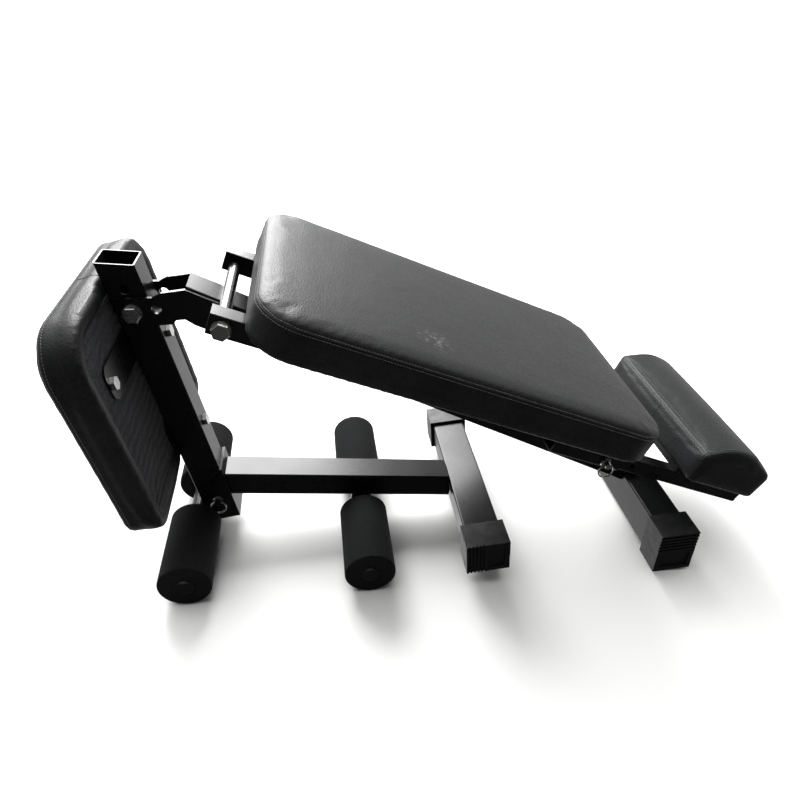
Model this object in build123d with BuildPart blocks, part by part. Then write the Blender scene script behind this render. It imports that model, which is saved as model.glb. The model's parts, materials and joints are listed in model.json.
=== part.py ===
from build123d import *
import os
from math import cos, radians, sin, tan

os.makedirs("parts", exist_ok=True)

# Folding adjustable weight bench, in millimetres, standing folded on its rollers and rear foot.
# +X points from the seat towards the headrest, +Y across the bench, +Z up; the floor is Z = 0.
# Every frame below is a side plane: its X runs along the piece, its Y away from the piece's top.

# ---- driving dimensions: where the frames lie -------------------------------------------------
fold_x = -455.3          # fold pivot, the bolt that joins the seat tube to the main beam
fold_z = 429.0
fold_angle = 92.0        # turn of the front frame from folded to in use
seat_angle = 101.0       # seat tube, from its front end to its open end
beam_angle = -25.6       # main beam, from the fold pivot to the rear foot
back_angle = -20.6       # backrest, lying on the beam
leg_angle = -4.5         # front leg
rear_foot_x = 391.7
rear_foot_tilt = 5.2
front_foot_tilt = 7.2

# ---- driving dimensions: tubes ----------------------------------------------------------------
tube_width = 50.0        # seat tube and front leg, across the bench
tube_wall = 2.0
seat_tube_depth = 50.0
leg_depth = 44.0
beam_depth = 40.0
tube_corner = 3.0
side_gap = 0.5           # seat tube to each clevis plate
beam_width = tube_width + 2 * side_gap
foot_length = 380.0
front_foot_long = 60.0
front_foot_short = 50.0
rear_foot_long = 75.0
rear_foot_short = 55.0
rail_size = 30.0
rail_wall = 1.6
bar_slack = 0.4          # headrest bar to its sleeve, all round
rail_offset = 103.0      # centre of each backrest rail from the middle of the bench

# ---- driving dimensions: pads -----------------------------------------------------------------
back_pad_start = 22.0
back_pad_length = 631.0
back_pad_width = 394.0
back_pad_thickness = 60.0
back_pad_corner = 60.0
seat_pad_front = -268.0
seat_pad_length = 322.0
seat_pad_width = 378.0
seat_pad_thickness = 54.0
seat_pad_rear_corner = 67.0
seat_pad_front_corner = 24.0
head_pad_start = 755.0
head_pad_length = 148.0
head_pad_width = 322.0
head_pad_low = 52.0      # height of the pad at its inner edge
head_pad_peak = 78.0
board_thickness = 12.0
board_inset = 13.0
board_gap = 0.3

# ---- driving dimensions: rollers, bolts, locks ------------------------------------------------
roller_radius = 41.0
roller_length = 141.0
roller_gap = 90.0        # clear space between the two rollers of a pair
axle_radius = 12.5
axle_wall = 2.0
run_gap = 0.08           # running clearance of a foam roller on its axle
bolt_radius = 7.0
bolt_clearance = 0.05
bolt_head_flats = 22.0
bolt_head_height = 8.5
washer_radius = 13.0
washer_thickness = 2.0
plate_thickness = 5.0
weld_gap = 0.3
lock_hole_radius = 6.8
lock_hole_reach = 32.6   # lock hole from the fold pivot, on the tube and on the plates
pin_radius = 4.0
pin_gap = 0.3
pin_travel = 10.0
ring_radius = 12.5
ring_wire = 1.4


def side_frame(x, z, angle):
    """Side plane through (x, z), its X axis turned up by angle from +X, looking along +Y."""
    turn = radians(angle)
    return Plane(origin=(x, 0, z), x_dir=(cos(turn), 0, sin(turn)), z_dir=(0, -1, 0))


def at_y(frame, y):
    """The same side plane moved to the given place across the bench."""
    return frame.offset(-y)


def section(frame, s, h=0.0):
    """Plane square to the frame's X axis: its X is +Y and its Y the frame's height."""
    return Plane(origin=frame.from_local_coords((s, h, 0)), x_dir=(0, 1, 0), z_dir=frame.x_dir)


def deck(frame, s, h):
    """Plane that faces away from the frame's top: its X runs along and its Y across."""
    return Plane(origin=frame.from_local_coords((s, h, 0)), x_dir=frame.x_dir, z_dir=frame.y_dir)


def save(piece, name):
    """Labels a finished piece and writes it to its own file."""
    piece.label = name
    export_step(piece, f"parts/{name}.step")


fold_frame = side_frame(fold_x, fold_z, 0)
seat_frame = side_frame(fold_x, fold_z, seat_angle)
beam_frame = side_frame(fold_x, fold_z, beam_angle)
sides = {"near": -1, "far": 1}

# ---- places along the seat tube and the beam --------------------------------------------------
seat_tube_front = -412.0
seat_tube_end_top = 76.0       # open end, on the pad's side and on the side away from it
seat_tube_end_low = 63.0
beam_top = 64.6                # top face of the beam above the fold pivot
beam_low = beam_top - beam_depth
butt_gap = 3.0
hinge_s = 107.2                # backrest hinge along the beam
sleeve_radius = bolt_radius + 2.0
hinge_h = beam_top + sleeve_radius - 1.0
hinge_point = beam_frame.from_local_coords((hinge_s, hinge_h, 0))
back_frame = side_frame(hinge_point.X, hinge_point.Z, back_angle)
cap_wall = 2.0
cap_rib = 3.5
cap_rib_width = 2.8
cap_length = 50.0
cap_end = 5.0
cap_recess = 2.0
cap_grip = 0.25
cap_growth = 2 * (cap_grip + cap_wall + cap_rib)
rear_foot_lean = radians(rear_foot_tilt)
rear_foot_rise = ((rear_foot_long + cap_growth) / 2 * cos(rear_foot_lean)
                  + (rear_foot_short + cap_growth) / 2 * sin(rear_foot_lean))
rear_foot_point = Vector(rear_foot_x, 0, rear_foot_rise)
rear_foot_frame = side_frame(rear_foot_point.X, rear_foot_point.Z, rear_foot_tilt - 90)
leg_point = seat_frame.from_local_coords((-338.0, -seat_tube_depth / 2, 0))
leg_frame = side_frame(leg_point.X, leg_point.Z, leg_angle)
leg_length = 396.0
foot_drop = 4.0                # front foot's centre below the leg's centre line
front_foot_point = leg_frame.from_local_coords((leg_length + front_foot_long / 2, -foot_drop, 0))
front_foot_frame = side_frame(front_foot_point.X, front_foot_point.Z, front_foot_tilt)


def tube_section(plane, y, h, width, depth, wall=tube_wall, corner=tube_corner):
    """Section of a square tube with rounded corners, centred on (y, h) of the plane."""
    with BuildSketch(plane) as outline:
        with Locations((y, h)):
            RectangleRounded(width, depth, corner)
            RectangleRounded(width - 2 * wall, depth - 2 * wall, max(corner - wall, 0.5),
                             mode=Mode.SUBTRACT)
    return outline.sketch


def bolt_set(frame, s, h, reach, radius=bolt_radius, flats=bolt_head_flats, head=bolt_head_height):
    """Bolt across the bench with its head on the near side, its nut and its two washers."""
    with BuildPart() as bolt:
        with BuildSketch(at_y(frame, -reach - washer_thickness)):
            with Locations((s, h)):
                Circle(radius)
        extrude(amount=-(2 * reach + 2 * washer_thickness + head + 4))
        with BuildSketch(at_y(frame, -reach - washer_thickness)):
            with Locations((s, h)):
                RegularPolygon(flats / 2, 6, major_radius=False)
        extrude(amount=head)
        chamfer(bolt.edges().group_by(Axis.Y)[0], 1.0)
    with BuildPart() as nut:
        with BuildSketch(at_y(frame, reach + washer_thickness)):
            with Locations((s, h)):
                RegularPolygon(flats / 2, 6, major_radius=False)
                Circle(radius + bolt_clearance, mode=Mode.SUBTRACT)
        extrude(amount=-head)
    with BuildPart() as washers:
        for place in (-reach - washer_thickness, reach):
            with BuildSketch(at_y(frame, place)):
                with Locations((s, h)):
                    Circle(washer_radius)
                    Circle(radius + bolt_clearance, mode=Mode.SUBTRACT)
            extrude(amount=-washer_thickness)
    return bolt, nut, washers


# ==== main frame ===============================================================================
# Main beam: its start is cut to clear the seat tube's open end when the bench is in use, and its
# lower end is coped over the rear foot.
in_use_frame = side_frame(fold_x, fold_z, seat_angle - fold_angle)
butt_top = in_use_frame.from_local_coords((seat_tube_end_top + butt_gap, seat_tube_depth / 2, 0))
butt_low = in_use_frame.from_local_coords((seat_tube_end_low + butt_gap, -seat_tube_depth / 2, 0))
butt_line = butt_low - butt_top
butt_plane = Plane(origin=butt_top, x_dir=(0, 1, 0), z_dir=Vector(butt_line.Z, 0, -butt_line.X))
beam_start = 20.0
beam_length = 925.0
with BuildPart() as main_beam:
    extrude(tube_section(section(beam_frame, beam_start), 0, beam_top - beam_depth / 2,
                         beam_width, beam_depth), amount=beam_length - beam_start)
    split(bisect_by=butt_plane, keep=Keep.BOTTOM)
    with BuildSketch(rear_foot_frame):
        Rectangle(rear_foot_long + 2 * weld_gap, rear_foot_short + 2 * weld_gap)
    extrude(amount=beam_width, both=True, mode=Mode.SUBTRACT)
    with BuildSketch(side_frame(rear_foot_point.X, 0, 0)):
        with Locations((200.0, rear_foot_point.Z)):
            Rectangle(400.0, 400.0)
    extrude(amount=beam_width, both=True, mode=Mode.SUBTRACT)
beam_pieces = main_beam.part.solids().sort_by(SortBy.VOLUME)
save(Part() + beam_pieces[-1], "main_beam")

# Clevis plates: a rounded eye about the fold pivot that steps up to the beam's sides.
eye_radius = 22.0
plate_tail = 98.0
tail_top = beam_frame.from_local_coords((plate_tail, beam_top - 2.5, 0)) - Vector(fold_x, 0, fold_z)
tail_low = beam_frame.from_local_coords((plate_tail, beam_low - 8.0, 0)) - Vector(fold_x, 0, fold_z)
lock_turn = radians(seat_angle - fold_angle)
lock_x = lock_hole_reach * cos(lock_turn)
lock_z = lock_hole_reach * sin(lock_turn)
for side, sign in sides.items():
    plate_y = sign * (beam_width / 2 + plate_thickness / 2)
    with BuildPart() as clevis_plate:
        with BuildSketch(at_y(fold_frame, plate_y)):
            with BuildLine():
                Polyline((0, eye_radius), (28, 22), (41, 29), (73, 33.6), (tail_top.X, tail_top.Z),
                         (tail_low.X, tail_low.Z), (80, -20), (68, -11), (56, -12), (51, -18),
                         (0, -eye_radius))
                RadiusArc((0, -eye_radius), (0, eye_radius), eye_radius)
            make_face()
            Circle(bolt_radius + bolt_clearance, mode=Mode.SUBTRACT)
            with Locations((lock_x, lock_z)):
                Circle(lock_hole_radius, mode=Mode.SUBTRACT)
        extrude(amount=plate_thickness / 2, both=True)
    save(clevis_plate.part, f"clevis_plate_{side}")

# Fold pivot bolt, nut and washers.
clevis_reach = beam_width / 2 + plate_thickness
fold_bolt, fold_nut, fold_washers = bolt_set(fold_frame, 0, 0, clevis_reach)
save(fold_bolt.part, "fold_bolt")
save(fold_nut.part, "fold_nut")
save(fold_washers.part, "fold_washers")

# Cross sleeve that the backrest turns on, welded across the top of the beam.
rail_inner = rail_offset - rail_size / 2
rail_outer = rail_offset + rail_size / 2
with BuildPart() as hinge_sleeve:
    with BuildSketch(back_frame):
        Circle(sleeve_radius)
        Circle(bolt_radius + bolt_clearance, mode=Mode.SUBTRACT)
    extrude(amount=rail_inner - 0.5, both=True)
    with BuildSketch(beam_frame):
        with Locations((hinge_s, beam_top - 10)):
            Rectangle(4 * sleeve_radius, 20 + 2 * weld_gap)
    extrude(amount=beam_width / 2 + weld_gap, both=True, mode=Mode.SUBTRACT)
save(hinge_sleeve.part, "hinge_sleeve")


# Feet: a rectangular tube with a ribbed plastic cap over each end.
def foot_tube(frame, long, short):
    """Foot's tube, closed at its ends only by the caps."""
    with BuildPart() as tube:
        with BuildSketch(frame):
            RectangleRounded(long, short, tube_corner)
            RectangleRounded(long - 2 * tube_wall, short - 2 * tube_wall, 1.0, mode=Mode.SUBTRACT)
        extrude(amount=foot_length / 2 - cap_end - cap_grip, both=True)
    return tube


def spread(count, width):
    """Centres of count ribs that fill the width from edge to edge."""
    reach = (width - cap_rib_width) / 2
    return [-reach + 2 * reach * i / (count - 1) for i in range(count)]


def foot_cap(frame, sign, long, short, long_ribs, short_ribs):
    """Cap with ribs along all four sides, and across half of its end face."""
    base_long = long + 2 * cap_grip + 2 * cap_wall
    base_short = short + 2 * cap_grip + 2 * cap_wall
    full_long = base_long + 2 * cap_rib
    full_short = base_short + 2 * cap_rib
    mouth = foot_length / 2 - cap_length
    with BuildPart() as cap:
        with BuildSketch(at_y(frame, sign * mouth)):
            Rectangle(base_long, base_short)
            with Locations(*[(x, 0) for x in spread(long_ribs, full_long)]):
                Rectangle(cap_rib_width, full_short)
            with Locations(*[(0, y) for y in spread(short_ribs, full_short)]):
                Rectangle(full_long, cap_rib_width)
        extrude(amount=-sign * cap_length)
        with BuildSketch(at_y(frame, sign * foot_length / 2)):
            with Locations((base_long / 4 - cap_wall, 0)):
                Rectangle(base_long / 2 - 2 * cap_wall, base_short - 4 * cap_wall)
            with Locations(*[(x - base_long / 4, 0) for x in spread(6, base_long / 2)[:5]]):
                Rectangle(cap_rib_width, full_short)
        extrude(amount=sign * cap_recess, mode=Mode.SUBTRACT)
        with BuildSketch(at_y(frame, sign * mouth)):
            Rectangle(long + 2 * cap_grip, short + 2 * cap_grip)
        extrude(amount=-sign * (cap_length - cap_end), mode=Mode.SUBTRACT)
    return cap


feet = {"rear": (rear_foot_frame, rear_foot_long, rear_foot_short, 10, 8),
        "front": (front_foot_frame, front_foot_long, front_foot_short, 10, 8)}
for name, (frame, long, short, long_ribs, short_ribs) in feet.items():
    save(foot_tube(frame, long, short).part, f"{name}_foot_tube")
    for side, sign in sides.items():
        cap = foot_cap(frame, sign, long, short, long_ribs, short_ribs)
        save(cap.part, f"{name}_foot_cap_{side}")

# Ladder: two notched strips along the top of the beam, just under the prop rod's path.
prop_reach = 280.0             # prop pivot from the backrest hinge, and the prop's own length
prop_rod_radius = 6.0
prop_arm_width = 20.0
rail_h = 3.0                   # rail centre above the hinge line
deck_h = rail_h + rail_size / 2
prop_height = deck_h - prop_arm_width / 2 - 2.0    # prop pivot above the same line
prop_arm_thickness = 5.0
prop_arm_offset = 35.5
ladder_near_end = 100.0
ladder_far_end = 2 * prop_reach + 8.0
ladder_gap = 0.8
ladder_offset = 18.0
ladder_thickness = 5.0
ladder_steps = 7


def ladder_height(x):
    """Height of the strip above the beam at distance x from the hinge."""
    lift = hinge_h - beam_top + prop_height * x / (2 * prop_reach)
    return lift - prop_rod_radius - ladder_gap


for side, sign in sides.items():
    with BuildPart() as ladder:
        with BuildSketch(at_y(beam_frame, sign * ladder_offset)):
            with BuildLine():
                Polyline((hinge_s + ladder_near_end, beam_top + weld_gap / 3),
                         (hinge_s + ladder_far_end, beam_top + weld_gap / 3),
                         (hinge_s + ladder_far_end, beam_top + ladder_height(ladder_far_end)),
                         (hinge_s + ladder_near_end, beam_top + ladder_height(ladder_near_end)),
                         close=True)
            make_face()
            for step in range(1, ladder_steps + 1):
                x = ladder_near_end + (ladder_far_end - ladder_near_end) * step / (ladder_steps + 1)
                with Locations((hinge_s + x, beam_top + ladder_height(x) + 4.6)):
                    Circle(prop_rod_radius + 0.4, mode=Mode.SUBTRACT)
        extrude(amount=ladder_thickness / 2, both=True)
    save(ladder.part, f"ladder_strip_{side}")

# ==== backrest =================================================================================
rail_start = -18.0
rail_end = 640.0
for side, sign in sides.items():
    with BuildPart() as rail:
        extrude(tube_section(section(back_frame, rail_start), sign * rail_offset, rail_h,
                             rail_size, rail_size, rail_wall, 2.0), amount=rail_end - rail_start)
        with BuildSketch(at_y(back_frame, sign * rail_outer)):
            Circle(bolt_radius + bolt_clearance)
        extrude(amount=sign * rail_size, mode=Mode.SUBTRACT)
    save(rail.part, f"backrest_rail_{side}")

# Plastic inserts that close the rails' ends.
with BuildPart() as rail_plugs:
    for s in (rail_start, rail_end - 2.0):
        with BuildSketch(section(back_frame, s)):
            with Locations((-rail_offset, rail_h), (rail_offset, rail_h)):
                Rectangle(rail_size - 2 * rail_wall - 0.6, rail_size - 2 * rail_wall - 0.6)
        extrude(amount=2.0)
save(rail_plugs.part, "rail_plugs")

cross_depth = 14.0
cross_width = 40.0
for name, s in (("front", 72.0), ("rear", 600.0)):
    with BuildPart() as cross_bar:
        with BuildSketch(at_y(back_frame, -rail_inner + weld_gap)):
            with Locations((s, deck_h - cross_depth / 2)):
                RectangleRounded(cross_width, cross_depth, 2.0)
                RectangleRounded(cross_width - 2 * rail_wall, cross_depth - 2 * rail_wall, 0.8,
                                 mode=Mode.SUBTRACT)
        extrude(amount=-2 * (rail_inner - weld_gap))
    save(cross_bar.part, f"backrest_cross_{name}")

hinge_bolt, hinge_nut, hinge_washers = bolt_set(back_frame, 0, 0, rail_outer)
save(hinge_bolt.part, "hinge_bolt")
save(hinge_nut.part, "hinge_nut")
save(hinge_washers.part, "hinge_washers")

# Prop pivot rod, between the rails.
with BuildPart() as prop_pivot:
    with BuildSketch(back_frame):
        with Locations((prop_reach, prop_height)):
            Circle(prop_rod_radius)
    extrude(amount=rail_inner - weld_gap, both=True)
save(prop_pivot.part, "prop_pivot_rod")


def plan_outline(length, width, start_corner, end_corner):
    """Rounded rectangle that starts at X = 0, with its own corner radius at each end."""
    with BuildSketch() as outline:
        with Locations((length / 2, 0)):
            Rectangle(length, width)
        fillet(outline.vertices().group_by(Axis.X)[0], start_corner)
        fillet(outline.vertices().group_by(Axis.X)[-1], end_corner)
    return outline.sketch


def board(frame, start, length, width, start_corner, end_corner, h):
    """Plywood board under a pad, set in from the pad's edge."""
    with BuildPart() as wood:
        with BuildSketch(deck(frame, start + board_inset, h)):
            add(plan_outline(length - 2 * board_inset, width - 2 * board_inset,
                             max(start_corner - board_inset, 5), max(end_corner - board_inset, 5)))
        extrude(amount=board_thickness)
    return wood


def pad(frame, start, length, width, start_corner, end_corner, base, top, pocket_top):
    """Padded cushion with a pocket underneath that holds its board."""
    with BuildPart() as cushion:
        with BuildSketch(deck(frame, start, base)):
            add(plan_outline(length, width, start_corner, end_corner))
        extrude(amount=top - base)
        inset = board_inset - board_gap
        with BuildSketch(deck(frame, start + inset, base)):
            add(plan_outline(length - 2 * inset, width - 2 * inset,
                             max(start_corner - inset, 5), max(end_corner - inset, 5)))
        extrude(amount=pocket_top - base, mode=Mode.SUBTRACT)
    return cushion


back_board_h = deck_h + board_gap
back_pad_base = deck_h + 2.0
back_board = board(back_frame, back_pad_start, back_pad_length, back_pad_width, back_pad_corner,
                   back_pad_corner, back_board_h)
save(back_board.part, "backrest_board")
back_pad = pad(back_frame, back_pad_start, back_pad_length, back_pad_width, back_pad_corner,
               back_pad_corner, back_pad_base, back_pad_base + back_pad_thickness,
               back_board_h + board_thickness + board_gap)
save(back_pad.part, "backrest_pad")

# Sleeves under the rails that the headrest's bars slide in, and the bars' lock.
sleeve_start = 530.0
sleeve_end = 665.0
sleeve_h = rail_h - rail_size - weld_gap
head_pin_s = 628.0
head_step = 30.0               # distance between the bar's lock holes
for side, sign in sides.items():
    with BuildPart() as sleeve:
        extrude(tube_section(section(back_frame, sleeve_start), sign * rail_offset, sleeve_h,
                             rail_size, rail_size, rail_wall, 2.0),
                amount=sleeve_end - sleeve_start)
        if side == "near":
            with BuildSketch(at_y(back_frame, -rail_outer)):
                with Locations((head_pin_s, sleeve_h)):
                    Circle(pin_radius + pin_gap)
            extrude(amount=-rail_size / 2, mode=Mode.SUBTRACT)
    save(sleeve.part, f"headrest_sleeve_{side}")

# ==== prop =====================================================================================
# The prop's length equals its pivot's distance from the hinge, so its rod stays on a straight
# line above the beam when it turns back at twice the backrest's rate.
prop_frame_angle = 2 * beam_angle - back_angle
pivot_point = back_frame.from_local_coords((prop_reach, prop_height, 0))
prop_frame = side_frame(pivot_point.X, pivot_point.Z, prop_frame_angle)
for side, sign in sides.items():
    with BuildPart() as arm:
        with BuildSketch(at_y(prop_frame, sign * prop_arm_offset)):
            with Locations((prop_reach / 2, 0)):
                SlotCenterToCenter(prop_reach, prop_arm_width)
            Circle(prop_rod_radius + bolt_clearance, mode=Mode.SUBTRACT)
            with Locations((prop_reach, 0)):
                Circle(prop_rod_radius, mode=Mode.SUBTRACT)
        extrude(amount=prop_arm_thickness / 2, both=True)
    save(arm.part, f"prop_arm_{side}")
with BuildPart() as prop_rod:
    with BuildSketch(prop_frame):
        with Locations((prop_reach, 0)):
            Circle(prop_rod_radius - 0.02)
    extrude(amount=prop_arm_offset + prop_arm_thickness / 2 + 4.0, both=True)
save(prop_rod.part, "prop_rod")

# ==== headrest =================================================================================
bar_size = rail_size - 2 * rail_wall - 2 * bar_slack
bar_start = 536.0
bar_end = 930.0
for side, sign in sides.items():
    with BuildPart() as bar:
        extrude(tube_section(section(back_frame, bar_start), sign * rail_offset, sleeve_h,
                             bar_size, bar_size, rail_wall, 2.0), amount=bar_end - bar_start)
        if side == "near":
            with BuildSketch(at_y(back_frame, -rail_offset - bar_size / 2)):
                with Locations(*[(head_pin_s + head_step * i, sleeve_h) for i in range(-2, 3)]):
                    Circle(pin_radius + pin_gap)
            extrude(amount=-bar_size / 3, mode=Mode.SUBTRACT)
        with BuildSketch(section(back_frame, bar_end - rail_wall)):
            with Locations((sign * rail_offset, sleeve_h)):
                Rectangle(bar_size - 2 * rail_wall, bar_size - 2 * rail_wall)
        extrude(amount=rail_wall)
    save(bar.part, f"headrest_bar_{side}")

# Brackets that lift the headrest's board off its bars.
bar_top = sleeve_h + bar_size / 2
riser_height = 12.0
with BuildPart() as head_risers:
    for s in (head_pad_start + 28.0, head_pad_start + head_pad_length - 28.0):
        with BuildSketch(deck(back_frame, s, bar_top + weld_gap)):
            RectangleRounded(22.0, 2 * rail_outer, 3.0)
        extrude(amount=riser_height)
save(head_risers.part, "headrest_risers")

head_board_h = bar_top + riser_height + 2 * weld_gap
head_board = board(back_frame, head_pad_start, head_pad_length, head_pad_width, 20.0, 20.0,
                   head_board_h)
save(head_board.part, "headrest_board")
head_base = head_board_h + 1.7
head_floor = head_board_h + board_thickness + board_gap
with BuildPart() as head_pad:
    with BuildSketch(back_frame):
        with BuildLine():
            Polyline((head_pad_start, head_base), (head_pad_start + head_pad_length, head_base),
                     (head_pad_start + head_pad_length, head_pad_low),
                     (head_pad_start + 0.55 * head_pad_length, head_pad_peak),
                     (head_pad_start, head_pad_low), close=True)
        make_face()
    extrude(amount=head_pad_width / 2, both=True)
    inset = board_inset - board_gap
    with BuildSketch(deck(back_frame, head_pad_start + inset, head_base)):
        add(plan_outline(head_pad_length - 2 * inset, head_pad_width - 2 * inset, 7, 7))
    extrude(amount=head_floor - head_base, mode=Mode.SUBTRACT)
    fillet(head_pad.edges().filter_by(Axis.Y).sort_by(Axis.Z)[-1], 20)
save(head_pad.part, "headrest_pad")


def pull_pin(frame, s, h, face_y, depth, barrel_length, head_length):
    """Pin across the bench on a near face: threaded barrel, pin with an eye, and a split ring."""
    with BuildPart() as barrel:
        with BuildSketch(at_y(frame, face_y - weld_gap)):
            with Locations((s, h)):
                RegularPolygon(8.0, 6, major_radius=False)
                Circle(pin_radius + pin_gap, mode=Mode.SUBTRACT)
        extrude(amount=barrel_length)
    head_start = face_y - weld_gap - barrel_length - 1.0
    eye = frame.from_local_coords((s, h, 0))
    eye_y = head_start - head_length / 2
    with BuildPart() as pin:
        with BuildSketch(at_y(frame, face_y + depth)):
            with Locations((s, h)):
                Circle(pin_radius)
        extrude(amount=depth - (head_start - face_y))
        with BuildSketch(at_y(frame, head_start)):
            with Locations((s, h)):
                Circle(5.5)
        extrude(amount=head_length)
        with BuildSketch(Plane(origin=(eye.X, eye_y, eye.Z), x_dir=(0, 1, 0), z_dir=(1, 0, 0))):
            Circle(3.1)
        extrude(amount=8.0, both=True, mode=Mode.SUBTRACT)
    with BuildPart() as ring:
        centre = (eye.X, eye_y, eye.Z - ring_radius)
        with BuildSketch(Plane(origin=(eye.X, eye_y, eye.Z), x_dir=(0, 1, 0), z_dir=(1, 0, 0))):
            Circle(ring_wire)
        revolve(axis=Axis(centre, (0, 1, 0)), revolution_arc=360)
    return barrel, pin, ring


head_barrel, head_pin, head_ring = pull_pin(back_frame, head_pin_s, sleeve_h, -rail_outer,
                                          rail_wall, 9.0, 10.0)
save(head_barrel.part, "headrest_pin_barrel")
save(head_pin.part, "headrest_pin")
save(head_ring.part, "headrest_pin_ring")

# ==== front frame ==============================================================================
# Seat tube, open at its rear end, which is cut slantwise to meet the beam's start.
seat_tube_long = max(seat_tube_end_top, seat_tube_end_low) + 10
leg_pin_s = -362.0
leg_pin_h = -6.0
bracket_places = {"rear": -50.0, "front": -215.0}
bracket_reach = {"rear": 134.0, "front": 32.0}
seat_bolt_radius = 5.0
seat_bolt_offset = 124.0
seat_bolt_depth = 9.0
cut_top = seat_frame.from_local_coords((seat_tube_end_top, seat_tube_depth / 2, 0))
cut_low = seat_frame.from_local_coords((seat_tube_end_low, -seat_tube_depth / 2, 0))
cut_line = cut_low - cut_top
cut_plane = Plane(origin=cut_top, x_dir=(0, 1, 0), z_dir=Vector(-cut_line.Z, 0, cut_line.X))
with BuildPart() as seat_tube:
    extrude(tube_section(section(seat_frame, seat_tube_front), 0, 0, tube_width,
                         seat_tube_depth), amount=seat_tube_long - seat_tube_front)
    split(bisect_by=cut_plane, keep=Keep.BOTTOM)
    with BuildSketch(at_y(seat_frame, tube_width)):
        Circle(bolt_radius + bolt_clearance)
        with Locations((lock_hole_reach, 0)):
            Circle(lock_hole_radius)
        with Locations((leg_pin_s, leg_pin_h)):
            Circle(pin_radius + pin_gap)
    extrude(amount=2 * tube_width, mode=Mode.SUBTRACT)
    for s in bracket_places.values():
        with BuildSketch(deck(seat_frame, s, -seat_tube_depth)):
            Circle(seat_bolt_radius + bolt_clearance)
        extrude(amount=2 * seat_tube_depth, mode=Mode.SUBTRACT)
save(seat_tube.part, "seat_tube")

# Saddle that joins the leg to the seat tube: a web and two flanges.
saddle_low = -409.0
saddle_high = -311.0
web_high = -300.0
with BuildPart() as saddle_web:
    with BuildSketch(seat_frame):
        with Locations(((saddle_low + web_high) / 2, -seat_tube_depth / 2 - weld_gap - 2.5)):
            Rectangle(web_high - saddle_low, 5.0)
    extrude(amount=tube_width / 2 + plate_thickness + weld_gap, both=True)
save(saddle_web.part, "saddle_web")
for side, sign in sides.items():
    flange_y = sign * (tube_width / 2 + weld_gap + plate_thickness / 2)
    low = -seat_tube_depth / 2
    with BuildPart() as flange:
        with BuildSketch(at_y(seat_frame, flange_y)):
            with BuildLine():
                Polyline((saddle_high, low), (saddle_low, low), (saddle_low, 8), (-330, 8))
                RadiusArc((-330, 8), (saddle_high, low), -60)
            make_face()
            with Locations((leg_pin_s, leg_pin_h)):
                Circle(pin_radius + pin_gap, mode=Mode.SUBTRACT)
        extrude(amount=plate_thickness / 2, both=True)
    save(flange.part, f"saddle_flange_{side}")

leg_barrel, leg_pin, leg_ring = pull_pin(seat_frame, leg_pin_s, leg_pin_h,
                                         -tube_width / 2 - weld_gap - plate_thickness, 10.0,
                                         2.4, 7.4)
save(leg_barrel.part, "leg_pin_barrel")
save(leg_pin.part, "leg_pin")
save(leg_ring.part, "leg_pin_ring")

# Front leg, from the saddle to the front foot.
with BuildPart() as leg_tube:
    extrude(tube_section(section(leg_frame, 0), 0, 0, tube_width, leg_depth), amount=leg_length)
    with BuildSketch(seat_frame):
        with Locations((-338.0, -seat_tube_depth / 2 - weld_gap - 5.0 + 50.0 - weld_gap)):
            Rectangle(200.0, 100.0)
    extrude(amount=tube_width, both=True, mode=Mode.SUBTRACT)
    with BuildSketch(front_foot_frame):
        with Locations((50.0 - front_foot_long / 2 - weld_gap, 0)):
            Rectangle(100.0, 140.0)
    extrude(amount=tube_width, both=True, mode=Mode.SUBTRACT)
save(leg_tube.part, "leg_tube")

# Roller axles, one on the seat tube's front end and one under the leg.
half_axle = roller_gap / 2 + roller_length
seat_axle_h = seat_tube_depth / 2 + axle_radius + weld_gap
seat_turn = radians(seat_angle)
seat_axle_s = (roller_radius - fold_z - seat_axle_h * cos(seat_turn)) / sin(seat_turn)
seat_axle_point = seat_frame.from_local_coords((seat_axle_s, seat_axle_h, 0))
leg_axle_s = 235.0
leg_axle_point = leg_frame.from_local_coords((leg_axle_s, 0, 0))
axles = {"seat": side_frame(seat_axle_point.X, seat_axle_point.Z, 0),
         "leg": side_frame(leg_axle_point.X, roller_radius, 0)}
for name, frame in axles.items():
    with BuildPart() as axle:
        with BuildSketch(frame):
            Circle(axle_radius)
            Circle(axle_radius - axle_wall, mode=Mode.SUBTRACT)
        extrude(amount=half_axle, both=True)
    save(axle.part, f"{name}_roller_axle")
    for side, sign in sides.items():
        with BuildPart() as roller:
            with BuildSketch(at_y(frame, sign * roller_gap / 2)):
                Circle(roller_radius)
                Circle(axle_radius + run_gap, mode=Mode.SUBTRACT)
            extrude(amount=-sign * roller_length)
            fillet(roller.edges().filter_by(GeomType.CIRCLE).sort_by(SortBy.RADIUS)[-2:], 3.0)
        save(roller.part, f"{name}_roller_{side}")

# Domed plugs in the axles' ends, and collars that keep the rollers apart.
with BuildPart() as axle_plugs:
    for frame in axles.values():
        for sign in sides.values():
            with BuildSketch(at_y(frame, sign * (half_axle + weld_gap))):
                Circle(14.5)
            extrude(amount=-sign * 3.0, taper=20)
            with BuildSketch(at_y(frame, sign * (half_axle + weld_gap))):
                Circle(axle_radius - axle_wall - 0.1)
            extrude(amount=sign * 14.0)
save(axle_plugs.part, "axle_plugs")
with BuildPart() as axle_collars:
    for frame in axles.values():
        for sign in sides.values():
            with BuildSketch(at_y(frame, sign * (roller_gap / 2 - 0.5))):
                Circle(axle_radius + 4.0)
                Circle(axle_radius + 0.02, mode=Mode.SUBTRACT)
            extrude(amount=sign * 8.0)
save(axle_collars.part, "axle_collars")

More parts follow.
